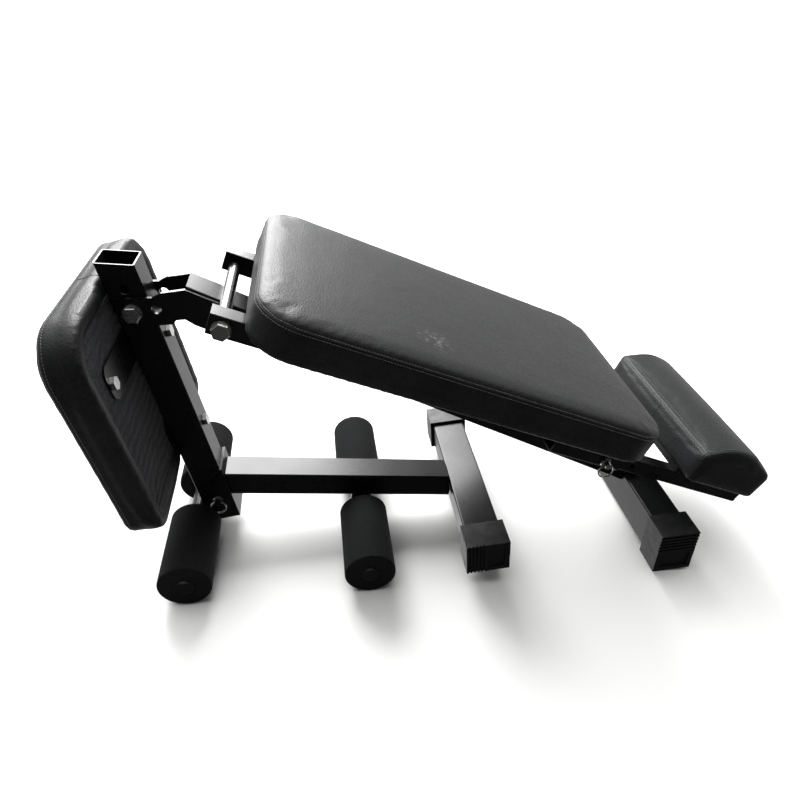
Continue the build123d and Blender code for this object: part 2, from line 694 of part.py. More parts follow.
# Block between the leg and its roller axle.
with BuildPart() as leg_axle_block:
    with BuildSketch(leg_frame):
        with Locations((leg_axle_s, -leg_depth / 2 - weld_gap - 9.0)):
            Rectangle(34.0, 18.0)
    extrude(amount=tube_width / 2 - 2.0, both=True)
    with BuildSketch(axles["leg"]):
        Circle(axle_radius + weld_gap)
        with Locations((0, -50.0)):
            Rectangle(100.0, 100.0)
    extrude(amount=tube_width, both=True, mode=Mode.SUBTRACT)
save(leg_axle_block.part, "leg_axle_block")

# Seat brackets, board, pad and their bolts.
bracket_width = 50.0
bracket_low = seat_tube_depth / 2 + weld_gap
seat_board_h = bracket_low + plate_thickness
bolt_rows = {"rear": [-seat_bolt_offset, 0.0, seat_bolt_offset], "front": [0.0]}
with BuildPart() as seat_brackets:
    for name, s in bracket_places.items():
        with BuildSketch(deck(seat_frame, s, bracket_low)):
            RectangleRounded(bracket_width, 2 * bracket_reach[name], 15.0)
            with Locations(*[(0, y) for y in bolt_rows[name]]):
                Circle(seat_bolt_radius + bolt_clearance, mode=Mode.SUBTRACT)
        extrude(amount=plate_thickness)
save(seat_brackets.part, "seat_brackets")
board_base = seat_board_h + 0.1
with BuildPart() as seat_board:
    add(board(seat_frame, seat_pad_front, seat_pad_length, seat_pad_width,
              seat_pad_front_corner, seat_pad_rear_corner, board_base).part)
    for name, s in bracket_places.items():
        with BuildSketch(deck(seat_frame, s, board_base)):
            with Locations(*[(0, y) for y in bolt_rows[name]]):
                Circle(seat_bolt_radius + bolt_clearance)
        extrude(amount=seat_bolt_depth, mode=Mode.SUBTRACT)
save(seat_board.part, "seat_board")

# Bolts that hold the seat's board: two through the tube, two at the long bracket's ends.
with BuildPart() as seat_bolts:
    for name, s in bracket_places.items():
        for y in bolt_rows[name]:
            seat_face = bracket_low if y else -seat_tube_depth / 2
            with BuildSketch(deck(seat_frame, s, seat_face - weld_gap)):
                with Locations((0, y)):
                    Circle(seat_bolt_radius)
            extrude(amount=board_base + seat_bolt_depth - 1.0 - seat_face + weld_gap)
            with BuildSketch(deck(seat_frame, s, seat_face - weld_gap)):
                with Locations((0, y)):
                    RegularPolygon(8.5, 6, major_radius=False)
            extrude(amount=-6.0)
save(seat_bolts.part, "seat_bolts")
seat_pad_base = 20.0
rim_clear = 7.5
with BuildPart() as seat_pad:
    add(pad(seat_frame, seat_pad_front, seat_pad_length, seat_pad_width, seat_pad_front_corner,
            seat_pad_rear_corner, seat_pad_base, seat_pad_base + seat_pad_thickness,
            seat_board_h + board_thickness + board_gap + 0.1).part)
    with BuildSketch(deck(seat_frame, seat_pad_front - 1, seat_pad_base - 1)):
        with Locations((seat_pad_length / 2 + 1, 0)):
            Rectangle(seat_pad_length + 2, tube_width + 2 * rim_clear)
    extrude(amount=bracket_low - seat_pad_base + 2.0, mode=Mode.SUBTRACT)
save(seat_pad.part, "seat_pad")
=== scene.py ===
import json
import math
from functools import partial

import bmesh
import bpy
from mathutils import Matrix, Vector
from mathutils.bvhtree import BVHTree


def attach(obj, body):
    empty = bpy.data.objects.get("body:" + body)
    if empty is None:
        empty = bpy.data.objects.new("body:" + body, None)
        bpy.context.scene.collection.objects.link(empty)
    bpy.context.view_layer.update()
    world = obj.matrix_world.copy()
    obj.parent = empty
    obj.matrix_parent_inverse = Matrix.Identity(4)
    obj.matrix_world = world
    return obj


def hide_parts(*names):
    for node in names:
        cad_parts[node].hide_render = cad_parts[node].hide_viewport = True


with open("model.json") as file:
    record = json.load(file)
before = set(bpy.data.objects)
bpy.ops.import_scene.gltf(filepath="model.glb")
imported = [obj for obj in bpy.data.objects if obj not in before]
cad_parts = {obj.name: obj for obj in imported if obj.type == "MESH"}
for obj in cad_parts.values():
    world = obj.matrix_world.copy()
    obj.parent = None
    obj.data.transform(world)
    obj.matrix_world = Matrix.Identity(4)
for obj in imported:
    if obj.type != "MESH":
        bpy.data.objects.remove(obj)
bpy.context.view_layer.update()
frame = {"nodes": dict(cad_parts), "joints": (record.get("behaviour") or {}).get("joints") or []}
print("frame loaded")

mm = 0.001


def hexColour(code):
    # Linear colour of an sRGB hex code.
    parts = [int(code[i:i + 2], 16) / 255 for i in (1, 3, 5)]
    linear = [c / 12.92 if c <= 0.04045 else ((c + 0.055) / 1.055) ** 2.4 for c in parts]
    return (*linear, 1.0)


def addNode(tree, kind, inputs=None, **settings):
    # Adds one node, sets its properties, and sets or links its inputs.
    node = tree.nodes.new(kind)
    for name, value in settings.items():
        setattr(node, name, value)
    for key, value in (inputs or {}).items():
        if isinstance(value, bpy.types.NodeSocket):
            tree.links.new(value, node.inputs[key])
        else:
            node.inputs[key].default_value = value
    return node


def newMaterial(name, colour, roughness, metallic=0.0, ior=1.5, coat=0.0, sheen=0.0,
                specular=0.5):
    material = bpy.data.materials.new(name)
    material.use_nodes = True
    tree = material.node_tree
    shader = tree.nodes["Principled BSDF"]
    shader.inputs["Base Color"].default_value = hexColour(colour)
    shader.inputs["Roughness"].default_value = roughness
    shader.inputs["Metallic"].default_value = metallic
    shader.inputs["IOR"].default_value = ior
    shader.inputs["Coat Weight"].default_value = coat
    shader.inputs["Sheen Weight"].default_value = sheen
    shader.inputs["Specular IOR Level"].default_value = specular
    coords = addNode(tree, "ShaderNodeTexCoord").outputs["Object"]
    return material, tree, shader, coords


def noiseAt(tree, coords, size, detail=3.0, roughness=0.5):
    # Noise whose features are about size metres across.
    node = addNode(tree, "ShaderNodeTexNoise",
                   {"Vector": coords, "Scale": 1 / size, "Detail": detail,
                    "Roughness": roughness})
    return node.outputs["Fac"]


def cellsAt(tree, coords, size, feature="F1"):
    # Cells about size metres across.
    node = addNode(tree, "ShaderNodeTexVoronoi", {"Vector": coords, "Scale": 1 / size},
                   feature=feature)
    return node.outputs["Distance"]


def remap(tree, value, low, high, toLow, toHigh):
    node = addNode(tree, "ShaderNodeMapRange",
                   {"Value": value, "From Min": low, "From Max": high,
                    "To Min": toLow, "To Max": toHigh})
    return node.outputs["Result"]


def mixColours(tree, factor, first, second):
    node = addNode(tree, "ShaderNodeMix", data_type="RGBA")
    tree.links.new(factor, node.inputs[0])
    node.inputs[6].default_value = hexColour(first)
    node.inputs[7].default_value = hexColour(second)
    return node.outputs[2]


def bumpStack(tree, shader, layers):
    # Bump nodes one on the other: each layer is its height and its depth in metres.
    last = None
    for height, depth in layers:
        node = addNode(tree, "ShaderNodeBump", {"Height": height, "Strength": 1.0,
                                                "Distance": depth})
        if last is not None:
            tree.links.new(last, node.inputs["Normal"])
        last = node.outputs["Normal"]
    tree.links.new(last, shader.inputs["Normal"])


def powderCoat():
    # Satin black powder coat on steel: fine orange peel, and a soft sheen that drifts a little.
    values = {"colour": "#0a0b0c", "peelSize": 1.1 * mm, "peelDepth": 0.012 * mm,
              "smudgeSize": 60 * mm, "shiniest": 0.26, "dullest": 0.3, "coatRoughness": 0.22}
    material, tree, shader, coords = newMaterial("steel powderCoatedSatinBlack",
                                                 values["colour"], values["dullest"],
                                                 coat=0.06, specular=0.3)
    shader.inputs["Coat Roughness"].default_value = values["coatRoughness"]
    smudge = noiseAt(tree, coords, values["smudgeSize"], 1.0)
    tree.links.new(remap(tree, smudge, 0.3, 0.7, values["shiniest"], values["dullest"]),
                   shader.inputs["Roughness"])
    bumpStack(tree, shader, [(noiseAt(tree, coords, values["peelSize"]), values["peelDepth"])])
    return material


def vinyl(name, colour, light, scuff=None):
    # Pebble-grained upholstery vinyl: small raised cells, creases between, slow tone change,
    # and a chalky rubbed patch round the scuff, if there is one. The colour is also painted
    # lighter on the cell tops and darker in the creases: painted highlight and painted shade.
    values = {"pebble": 2.0 * mm, "pebbleDepth": 0.3 * mm, "fine": 0.5 * mm,
              "fineDepth": 0.025 * mm, "wave": 46 * mm, "waveDepth": 0.9 * mm,
              "tone": 110 * mm, "scuffCore": 8 * mm, "scuffReach": 34 * mm,
              "rub": 7 * mm, "chalk": "#8d8d8b"}
    material, tree, shader, coords = newMaterial(name, colour, 0.45, specular=0.25)
    cells = cellsAt(tree, coords, values["pebble"], "SMOOTH_F1")
    tone = noiseAt(tree, coords, values["tone"], 3.0)
    # Random tone less the cell distance: the cell part is a painted highlight on the pebble tops
    # and painted shade in the creases.
    shade = addNode(tree, "ShaderNodeMath", {0: tone, 1: cells}, operation="SUBTRACT")
    skin = mixColours(tree, remap(tree, shade.outputs[0], -0.3, 0.5, 0.0, 1.0), colour, light)
    if scuff:
        away = addNode(tree, "ShaderNodeVectorMath", {0: coords, 1: scuff}, operation="DISTANCE")
        near = remap(tree, away.outputs["Value"], values["scuffCore"], values["scuffReach"],
                     1.0, 0.0)
        rub = noiseAt(tree, coords, values["rub"], 6.0, 0.75)
        worn = addNode(tree, "ShaderNodeMath",
                       {0: near, 1: remap(tree, rub, 0.52, 0.66, 0.0, 0.5)},
                       operation="MULTIPLY")
        chalk = addNode(tree, "ShaderNodeMix", data_type="RGBA")
        tree.links.new(worn.outputs[0], chalk.inputs[0])
        tree.links.new(skin, chalk.inputs[6])
        chalk.inputs[7].default_value = hexColour(values["chalk"])
        skin = chalk.outputs[2]
    tree.links.new(skin, shader.inputs["Base Color"])
    tree.links.new(remap(tree, cells, 0.0, 0.8, 0.40, 0.56), shader.inputs["Roughness"])
    bumpStack(tree, shader, [
        (noiseAt(tree, coords, values["wave"], 2.0), values["waveDepth"]),
        (remap(tree, cells, 0.0, 0.9, 1.0, 0.0), values["pebbleDepth"]),
        (noiseAt(tree, coords, values["fine"]), values["fineDepth"])])
    return material


def foamRubber():
    # Closed-cell foam rubber: matte black skin with fine pores, small pale specks, soft dents.
    values = {"pore": 1.3 * mm, "poreDepth": 0.25 * mm, "speck": 1.0 * mm, "pale": "#303134",
              "dark": "#0e0f10", "dent": 6 * mm, "dentDepth": 0.2 * mm}
    material, tree, shader, coords = newMaterial("foam closedCellRubber", "#0b0c0d", 0.9,
                                                 specular=0.12)
    speck = cellsAt(tree, coords, values["speck"])
    tree.links.new(mixColours(tree, remap(tree, speck, 0.10, 0.30, 0.0, 1.0),
                              values["pale"], values["dark"]), shader.inputs["Base Color"])
    bumpStack(tree, shader, [
        (cellsAt(tree, coords, values["pore"]), values["poreDepth"]),
        (noiseAt(tree, coords, values["dent"]), values["dentDepth"])])
    return material


def cappingPlastic():
    # Moulded black polypropylene: slightly rough skin with a dull shine.
    values = {"skin": 0.4 * mm, "skinDepth": 0.012 * mm, "wear": 14 * mm}
    material, tree, shader, coords = newMaterial("plastic mouldedBlackPolypropylene", "#0b0c0d",
                                                 0.36, specular=0.35)
    wear = noiseAt(tree, coords, values["wear"])
    tree.links.new(remap(tree, wear, 0.3, 0.7, 0.36, 0.5), shader.inputs["Roughness"])
    bumpStack(tree, shader, [(noiseAt(tree, coords, values["skin"]), values["skinDepth"])])
    return material


def zincSteel():
    # Bright zinc-plated bolts: mottled passivate over machined steel.
    values = {"mottle": 2.2 * mm, "scratch": 0.35 * mm, "scratchDepth": 0.006 * mm}
    material, tree, shader, coords = newMaterial("steel zincPlated", "#c6c7c4", 0.3, metallic=1.0)
    mottle = noiseAt(tree, coords, values["mottle"], 4.0)
    tree.links.new(mixColours(tree, mottle, "#bcbdb9", "#d6d7d4"), shader.inputs["Base Color"])
    tree.links.new(remap(tree, mottle, 0.3, 0.7, 0.22, 0.42), shader.inputs["Roughness"])
    bumpStack(tree, shader, [(noiseAt(tree, coords, values["scratch"]), values["scratchDepth"])])
    return material


def chromeSteel():
    # Polished nickel plate on the pins and their split rings: bright, with a faint uneven haze.
    values = {"haze": 3 * mm}
    material, tree, shader, coords = newMaterial("steel polishedNickelPlated", "#dcdad6", 0.12,
                                                 metallic=1.0)
    haze = noiseAt(tree, coords, values["haze"])
    tree.links.new(remap(tree, haze, 0.3, 0.7, 0.08, 0.2), shader.inputs["Roughness"])
    return material


def backingCloth():
    # Black needle-felt dust cloth: matte fibres, a fine quilted dimple and slack creases; the
    # dimples are painted darker in their hollows and paler on the ridges, which is painted shade.
    values = {"dimple": 3.2 * mm, "dimpleDepth": 0.6 * mm, "fibre": 0.25 * mm,
              "fibreDepth": 0.05 * mm, "creases": 22.0, "creaseDepth": 1.2 * mm,
              "dark": "#060607", "pale": "#232428"}
    material, tree, shader, coords = newMaterial("cloth needledPolyesterBacking", "#131416", 0.95,
                                                 sheen=0.05, specular=0.15)
    dimple = cellsAt(tree, coords, values["dimple"])
    crease = addNode(tree, "ShaderNodeTexWave",
                     {"Vector": coords, "Scale": values["creases"], "Distortion": 5.0,
                      "Detail": 2.0}, bands_direction="Z")
    # Painted shade: the colour is dark where the dimple bump sinks and pale on the ridges between.
    tree.links.new(mixColours(tree, remap(tree, dimple, 0.1, 0.6, 0.0, 1.0),
                              values["dark"], values["pale"]), shader.inputs["Base Color"])
    bumpStack(tree, shader, [(crease.outputs["Fac"], values["creaseDepth"]),
                             (dimple, values["dimpleDepth"]),
                             (noiseAt(tree, coords, values["fibre"]), values["fibreDepth"])])
    return material


def sewingThread():
    # Bonded polyester thread, finely twisted and paler than the vinyl, so the rows show.
    values = {"twists": 900.0, "twistDepth": 0.05 * mm}
    material, tree, shader, coords = newMaterial("thread bondedPolyester", "#505156", 0.5)
    wave = addNode(tree, "ShaderNodeTexWave", {"Vector": coords, "Scale": values["twists"]},
                   bands_direction="DIAGONAL")
    bumpStack(tree, shader, [(wave.outputs["Fac"], values["twistDepth"])])
    return material


def glossEnamel():
    # Dipped black enamel on the hinge sleeve: wetter shine than the powder coat, soft sags.
    values = {"sag": 9 * mm, "sagDepth": 0.02 * mm}
    material, tree, shader, coords = newMaterial("steel glossyBlackEnamel", "#0a0b0c", 0.24,
                                                 coat=0.1, specular=0.4)
    sag = noiseAt(tree, coords, values["sag"], 2.0)
    tree.links.new(remap(tree, sag, 0.3, 0.7, 0.2, 0.28), shader.inputs["Roughness"])
    bumpStack(tree, shader, [(sag, values["sagDepth"])])
    return material


def foldedSeamShade():
    # Vinyl turned in at a seam: duller than the skin, with its grain pulled fine; its darker
    # colour is painted shade of the seam's groove.
    values = {"grain": 0.7 * mm, "grainDepth": 0.03 * mm}
    material, tree, shader, coords = newMaterial("vinyl foldedSeam", "#131416", 0.7)
    grain = noiseAt(tree, coords, values["grain"])
    tree.links.new(remap(tree, grain, 0.3, 0.7, 0.64, 0.76), shader.inputs["Roughness"])
    bumpStack(tree, shader, [(grain, values["grainDepth"])])
    return material


steelBlack = powderCoat()
vinylBlack = vinyl("vinyl pebbleGrained", "#08090a", "#1b1c1e")
vinylScuffed = vinyl("vinyl pebbleGrainedScuffed", "#08090a", "#1b1c1e", (-0.050, -0.120, 0.429))
foamBlack = foamRubber()
plasticBlack = cappingPlastic()
zinc = zincSteel()
chrome = chromeSteel()
feltBlack = backingCloth()
thread = sewingThread()
glossBlack = glossEnamel()
# The seam cords' darker colour is painted shade of the seam grooves.
seamShade = foldedSeamShade()
print("materials made")


def materialFor(name):
    if "cap" in name or "plug" in name:
        return plasticBlack
    if name == "hinge_sleeve":
        return glossBlack
    if "roller_near" in name or "roller_far" in name:
        return foamBlack
    if "pin" in name:
        return chrome
    if "bolt" in name or "nut" in name or "washers" in name:
        return zinc
    if name.endswith("_board"):
        return feltBlack
    return steelBlack


for name, node in frame["nodes"].items():
    node.data.materials.clear()
    node.data.materials.append(materialFor(name))
print("frame painted")


class SideFrame:
    # Places (along, across, up) millimetres of a tilted side frame in the row frame.
    def __init__(self, joint, angle):
        turn = math.radians(angle)
        pivot = next(j["pos_m"] for j in frame["joints"] if j["name"] == joint)
        self.origin = Vector(pivot) / mm
        self.along = Vector((math.cos(turn), 0, math.sin(turn)))
        self.up = Vector((-math.sin(turn), 0, math.cos(turn)))

    def at(self, s, y, h):
        return (self.origin + self.along * s + self.up * h + Vector((0, y, 0))) * mm

    def local(self, point):
        offset = point / mm - self.origin
        return offset.dot(self.along), point.y / mm, offset.dot(self.up)


backFrame = SideFrame("backrest_raise", -20.6)
seatFrame = SideFrame("seat_fold", 101.0)


def meshObject(name, verts, faces):
    mesh = bpy.data.meshes.new(name)
    mesh.from_pydata([tuple(v) for v in verts], [], faces)
    mesh.update()
    piece = bpy.data.objects.new(name, mesh)
    bpy.context.scene.collection.objects.link(piece)
    return piece


def outwardNormals(piece):
    shell = bmesh.new()
    shell.from_mesh(piece.data)
    bmesh.ops.recalc_face_normals(shell, faces=shell.faces)
    shell.to_mesh(piece.data)
    shell.free()


def smooth(piece):
    piece.data.polygons.foreach_set("use_smooth", [True] * len(piece.data.polygons))
    piece.data.update()


def bake(piece):
    # Turns a piece's modifiers into a plain mesh.
    graph = bpy.context.evaluated_depsgraph_get()
    mesh = bpy.data.meshes.new_from_object(piece.evaluated_get(graph))
    piece.modifiers.clear()
    old = piece.data
    piece.data = mesh
    bpy.data.meshes.remove(old)
    mesh.name = piece.name


def roundedOutline(start, length, width, startCorner, endCorner, cornerSteps=10, edgeSteps=8):
    # Points of a rounded rectangle in (s, y), counter-clockwise, as many for every inset.
    half = width / 2
    end = start + length
    corners = [(end, half, endCorner, 0), (start, half, startCorner, 90),
               (start, -half, startCorner, 180), (end, -half, endCorner, 270)]
    arcs = []
    for s, y, radius, turn in corners:
        centreS = s + (-radius if s == end else radius)
        centreY = y + (-radius if y > 0 else radius)
        arcs.append([(centreS + radius * math.cos(math.radians(turn + 90 * i / cornerSteps)),
                      centreY + radius * math.sin(math.radians(turn + 90 * i / cornerSteps)))
                     for i in range(cornerSteps + 1)])
    points = []
    for i, arc in enumerate(arcs):
        points += arc
        following = arcs[(i + 1) % 4][0]
        for j in range(1, edgeSteps):
            t = j / edgeSteps
            points.append((arc[-1][0] + (following[0] - arc[-1][0]) * t,
                           arc[-1][1] + (following[1] - arc[-1][1]) * t))
    return points


def loft(name, side, loops):
    # Closed skin through loops of (s, y, h) points, filled at both ends.
    count = len(loops[0])
    verts = [side.at(*p) for loop in loops for p in loop]
    faces = [tuple(range(count))[::-1], tuple(range(len(verts) - count, len(verts)))]
    for row in range(len(loops) - 1):
        for i in range(count):
            j = (i + 1) % count
            a = row * count
            faces.append((a + i, a + j, a + count + j, a + count + i))
    piece = meshObject(name, verts, faces)
    outwardNormals(piece)
    return piece


clothValues = {"frames": 20, "quality": 3}


def inflate(piece, side, restHeight, values):
    # Voxel remesh, then a cloth run under pressure, with each vertex's travel capped.
    remesh = piece.modifiers.new("remesh", "REMESH")
    remesh.mode = "VOXEL"
    remesh.voxel_size = values["voxel"] * mm
    bake(piece)
    before = [v.co.copy() for v in piece.data.vertices]
    held = piece.vertex_groups.new(name="held")
    low = [i for i, p in enumerate(before) if side.local(p)[2] < restHeight]
    held.add(low, 1.0, "REPLACE")
    cloth = piece.modifiers.new("cloth", "CLOTH")
    cloth.settings.use_pressure = True
    cloth.settings.uniform_pressure_force = values["pressure"]
    cloth.settings.effector_weights.gravity = 0
    cloth.settings.vertex_group_mass = "held"
    cloth.settings.quality = clothValues["quality"]
    cloth.point_cache.frame_start = 1
    cloth.point_cache.frame_end = clothValues["frames"]
    scene = bpy.context.scene
    for step in range(1, clothValues["frames"] + 1):
        scene.frame_set(step)
    graph = bpy.context.evaluated_depsgraph_get()
    swollen = [v.co.copy() for v in piece.evaluated_get(graph).data.vertices]
    piece.modifiers.clear()
    piece.vertex_groups.clear()
    scene.frame_set(1)
    cap = values["cap"] * mm
    for vertex, old, new in zip(piece.data.vertices, before, swollen):
        travel = new - old
        height = side.local(old)[2] - restHeight
        ease = min(max(height / values["ease"], 0.0), 1.0)
        if travel.length > cap:
            travel *= cap / travel.length
        vertex.co = old + travel * ease
    piece.data.update()


def finishPad(piece, body, node, material):
    subdivide = piece.modifiers.new("subdivide", "SUBSURF")
    subdivide.levels = 1
    subdivide.render_levels = 1
    bake(piece)
    smooth(piece)
    piece.data.materials.clear()
    piece.data.materials.append(material)
    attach(piece, body)
    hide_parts(node)


def snapTo(piece, points, lift):
    # The points moved onto the piece's surface, raised from it by lift millimetres.
    tree = BVHTree.FromObject(piece, bpy.context.evaluated_depsgraph_get())
    found = []
    for point in points:
        place, normal, _, _ = tree.find_nearest(point)
        found.append(place + normal * lift * mm)
    return found


def groupSocket(group, name, kind, value):
    socket = group.interface.new_socket(name, in_out="INPUT", socket_type=kind)
    if value is not None:
        socket.default_value = value
    return socket.identifier


def stitchGroup():
    # Geometry Nodes: short rounded stitches laid end to end along an edge path.
    group = bpy.data.node_groups.new("stitches", "GeometryNodeTree")
    names = {"path": groupSocket(group, "Path", "NodeSocketGeometry", None),
             "pitch": groupSocket(group, "Pitch", "NodeSocketFloat", 4 * mm),
             "length": groupSocket(group, "Length", "NodeSocketFloat", 3 * mm),
             "radius": groupSocket(group, "Radius", "NodeSocketFloat", 0.4 * mm),
             "seed": groupSocket(group, "Seed", "NodeSocketInt", 4),
             "material": groupSocket(group, "Material", "NodeSocketMaterial", None)}
    group.interface.new_socket("Geometry", in_out="OUTPUT", socket_type="NodeSocketGeometry")
    entry = addNode(group, "NodeGroupInput")
    path = addNode(group, "GeometryNodeMeshToCurve", {"Mesh": entry.outputs["Path"]})
    resample = addNode(group, "GeometryNodeResampleCurve",
                       {"Curve": path.outputs[0], "Length": entry.outputs["Pitch"]},
                       mode="LENGTH")
    tangent = addNode(group, "GeometryNodeInputTangent")
    turn = addNode(group, "FunctionNodeAlignRotationToVector",
                   {"Vector": tangent.outputs[0]}, axis="Z")
    stitch = addNode(group, "GeometryNodeMeshCylinder",
                     {"Vertices": 6, "Radius": entry.outputs["Radius"],
                      "Depth": entry.outputs["Length"]})
    wobble = addNode(group, "FunctionNodeRandomValue", {"Seed": entry.outputs["Seed"]})
    wobble.inputs[2].default_value = 0.88
    wobble.inputs[3].default_value = 1.08
    placed = addNode(group, "GeometryNodeInstanceOnPoints",
                     {"Points": resample.outputs[0], "Instance": stitch.outputs["Mesh"],
                      "Rotation": turn.outputs[0], "Scale": wobble.outputs[1]})
    real = addNode(group, "GeometryNodeRealizeInstances", {"Geometry": placed.outputs[0]})
    painted = addNode(group, "GeometryNodeSetMaterial",
                      {"Geometry": real.outputs[0], "Material": entry.outputs["Material"]})
    addNode(group, "NodeGroupOutput", {0: painted.outputs[0]})
    return group, names


def cordGroup():
    # Geometry Nodes: a round cord swept along an edge path, for seams and folded edges.
    group = bpy.data.node_groups.new("seamCord", "GeometryNodeTree")
    names = {"path": groupSocket(group, "Path", "NodeSocketGeometry", None),
             "radius": groupSocket(group, "Radius", "NodeSocketFloat", 1 * mm),
             "material": groupSocket(group, "Material", "NodeSocketMaterial", None)}
    group.interface.new_socket("Geometry", in_out="OUTPUT", socket_type="NodeSocketGeometry")
    entry = addNode(group, "NodeGroupInput")
    path = addNode(group, "GeometryNodeMeshToCurve", {"Mesh": entry.outputs["Path"]})
    profile = addNode(group, "GeometryNodeCurvePrimitiveCircle",
                      {"Resolution": 8, "Radius": entry.outputs["Radius"]})
    swept = addNode(group, "GeometryNodeCurveToMesh",
                    {"Curve": path.outputs[0], "Profile Curve": profile.outputs[0],
                     "Fill Caps": True})
    real = addNode(group, "GeometryNodeRealizeInstances", {"Geometry": swept.outputs[0]})
    painted = addNode(group, "GeometryNodeSetMaterial",
                      {"Geometry": real.outputs[0], "Material": entry.outputs["Material"]})
    addNode(group, "NodeGroupOutput", {0: painted.outputs[0]})
    return group, names


stitches, stitchInputs = stitchGroup()
seamCord, cordInputs = cordGroup()


def alongPath(name, points, closed, group, inputs, settings, body):
    # Runs a node group along a path, and keeps its result as a plain piece.
    mesh = bpy.data.meshes.new(name)
    edges = [(i, i + 1) for i in range(len(points) - 1)]
    if closed:
        edges.append((len(points) - 1, 0))
    mesh.from_pydata([tuple(p) for p in points], edges, [])
    piece = bpy.data.objects.new(name, mesh)
    bpy.context.scene.collection.objects.link(piece)
    modifier = piece.modifiers.new(name, "NODES")
    modifier.node_group = group
    for key, value in settings.items():
        modifier[inputs[key]] = value
    bake(piece)
    smooth(piece)
    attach(piece, body)
    return piece


def seam(name, pad, points, closed, body, radius=1.0, lift=-0.4):
    alongPath(name, snapTo(pad, points, lift), closed, seamCord, cordInputs,
              {"radius": radius * mm, "material": seamShade}, body)


stitchValues = {"pitch": 4.2 * mm, "length": 3.1 * mm, "radius": 0.5 * mm, "seed": 7,
                "material": thread}
stitchLift = 0.2


def stitchRow(name, pad, points, closed, body):
    alongPath(name, snapTo(pad, points, stitchLift), closed, stitches, stitchInputs,
              stitchValues, body)


smallestCorner = 4.0


def outlineLoop(values, inset, h):
    # Loop at height h round a plan outline, set in by inset millimetres.
    startCorner, endCorner = (max(values[end] - inset, smallestCorner)
                              for end in ("startCorner", "endCorner"))
    outline = roundedOutline(values["start"] + inset, values["length"] - 2 * inset,
                             values["width"] - 2 * inset, startCorner, endCorner)
    return [(s, y, h) for s, y in outline]


def ringRound(side, values, h, inset=-1.0):
    # Points round a pad at height h, just outside its skin, for a seam to be snapped onto it.
    return [side.at(*point) for point in outlineLoop(values, inset, h)]


backPadValues = {"start": 23.0, "length": 629.0, "width": 390.0, "startCorner": 62.0,
                 "endCorner": 62.0, "base": 20.0, "top": 79.0, "voxel": 5.5, "pressure": 4.0,
                 "cap": 1.6, "ease": 14.0}


def makeBackPad(values):
    base, top = values["base"], values["top"]
    profile = [(26, base + 0.8), (8, base), (2.5, base + 1.6), (0.6, base + 6), (0, base + 18),
               (0.2, top - 16), (1.2, top - 10), (4.5, top - 4.2), (10, top - 1.2), (24, top),
               (60, top + 0.8), (110, top + 1.2), (160, top + 1.4)]
    pad = loft("backPadVinyl", backFrame, [outlineLoop(values, i, h) for i, h in profile])
    inflate(pad, backFrame, base + 5, values)
    finishPad(pad, "backrest", "backrest_pad", vinylScuffed)
    ring = partial(ringRound, backFrame, values)
    seam("backPadTopSeam", pad, ring(top - 8.5), True, "backrest")
    stitchRow("backPadStitchesUpper", pad, ring(top - 5.0), True, "backrest")
    stitchRow("backPadStitchesLower", pad, ring(top - 12.5), True, "backrest")
    seam("backPadLowerFold", pad, ring(base + 4.0), True, "backrest", 1.1, -0.7)


makeBackPad(backPadValues)
print("back pad made")


headPadValues = {"half": 159.5, "voxel": 4.5, "pressure": 4.0, "cap": 1.3, "ease": 12.0,
                 "corners": [(758, 0.5, 4), (899, 0.5, 4), (905, 50, 9), (848, 78, 20),
                             (806, 78, 18), (756, 55, 7)],
                 "centre": (830, 36), "endShrink": 9.0, "lowest": 0.5}


def roundedProfile(corners, steps=5):
    # Closed (s, h) outline with a rounded corner at each (s, h, radius).
    points = []
    count = len(corners)
    for i, (s, h, radius) in enumerate(corners):
        here = Vector((s, h))
        back = (Vector(corners[i - 1][:2]) - here).normalized()
        ahead = (Vector(corners[(i + 1) % count][:2]) - here).normalized()
        for step in range(steps + 1):
            t = step / steps
            points.append(here + back * radius * (1 - t) ** 2 + ahead * radius * t ** 2)
    return points


def makeHeadPad(values):
    # The side profile swept across the bench: pulled in at its ends, crowned in the middle.
    outline = roundedProfile(values["corners"])
    centre = Vector(values["centre"])
    half, endShrink = values["half"], values["endShrink"]
    nearHalf = [(-half, endShrink), (-half + 1.2, 3.5), (-half + 6, 0.4), (-half + 14, 0.0),
                (-half * 0.5, -0.8)]
    farHalf = [(-y, shrink) for y, shrink in reversed(nearHalf)]
    loops = []
    for y, shrink in nearHalf + [(0, -1.2)] + farHalf:
        loop = []
        for point in outline:
            offset = point - centre
            moved = centre + offset * (1 - shrink / max(offset.length, 1))
            loop.append((moved.x, y, max(moved.y, values["lowest"])))
        loops.append(loop)
    pad = loft("headPadVinyl", backFrame, loops)
    inflate(pad, backFrame, 4, values)
    finishPad(pad, "headrest", "headrest_pad", vinylBlack)
    for side, sign in (("Near", -1), ("Far", 1)):
        points = [backFrame.at(p.x, sign * (half - 5.5), p.y) for p in outline]
        seam("headPadSeam" + side, pad, points, True, "headrest")
        inner = [backFrame.at(p.x, sign * (half - 10.5), p.y) for p in outline]
        stitchRow("headPadStitches" + side, pad, inner, True, "headrest")
    points = [backFrame.at(750, -10, h) for h in range(4, 54, 4)]
    seam("headPadMiddleSeam", pad, points, False, "headrest")
    points = [backFrame.at(754, y, 56) for y in range(-152, 153, 8)]
    seam("headPadCrestSeam", pad, points, False, "headrest")
    points = [backFrame.at(762, y, 62) for y in range(-150, 151, 8)]
    stitchRow("headPadCrestStitches", pad, points, False, "headrest")


makeHeadPad(headPadValues)
print("headrest pad made")


seatPadValues = {"start": -267.0, "length": 320.0, "width": 381.0, "startCorner": 26.0,
                 "endCorner": 68.0, "base": 20.4, "top": 77.0, "voxel": 5.0, "pressure": 4.0,
                 "cap": 1.8, "ease": 12.0, "rim": 24.0, "cloth": 29.2, "tubeHalf": 34.0,
                 "notchSlope": 10.0, "notchTop": 28.0, "foldTop": 27.5}


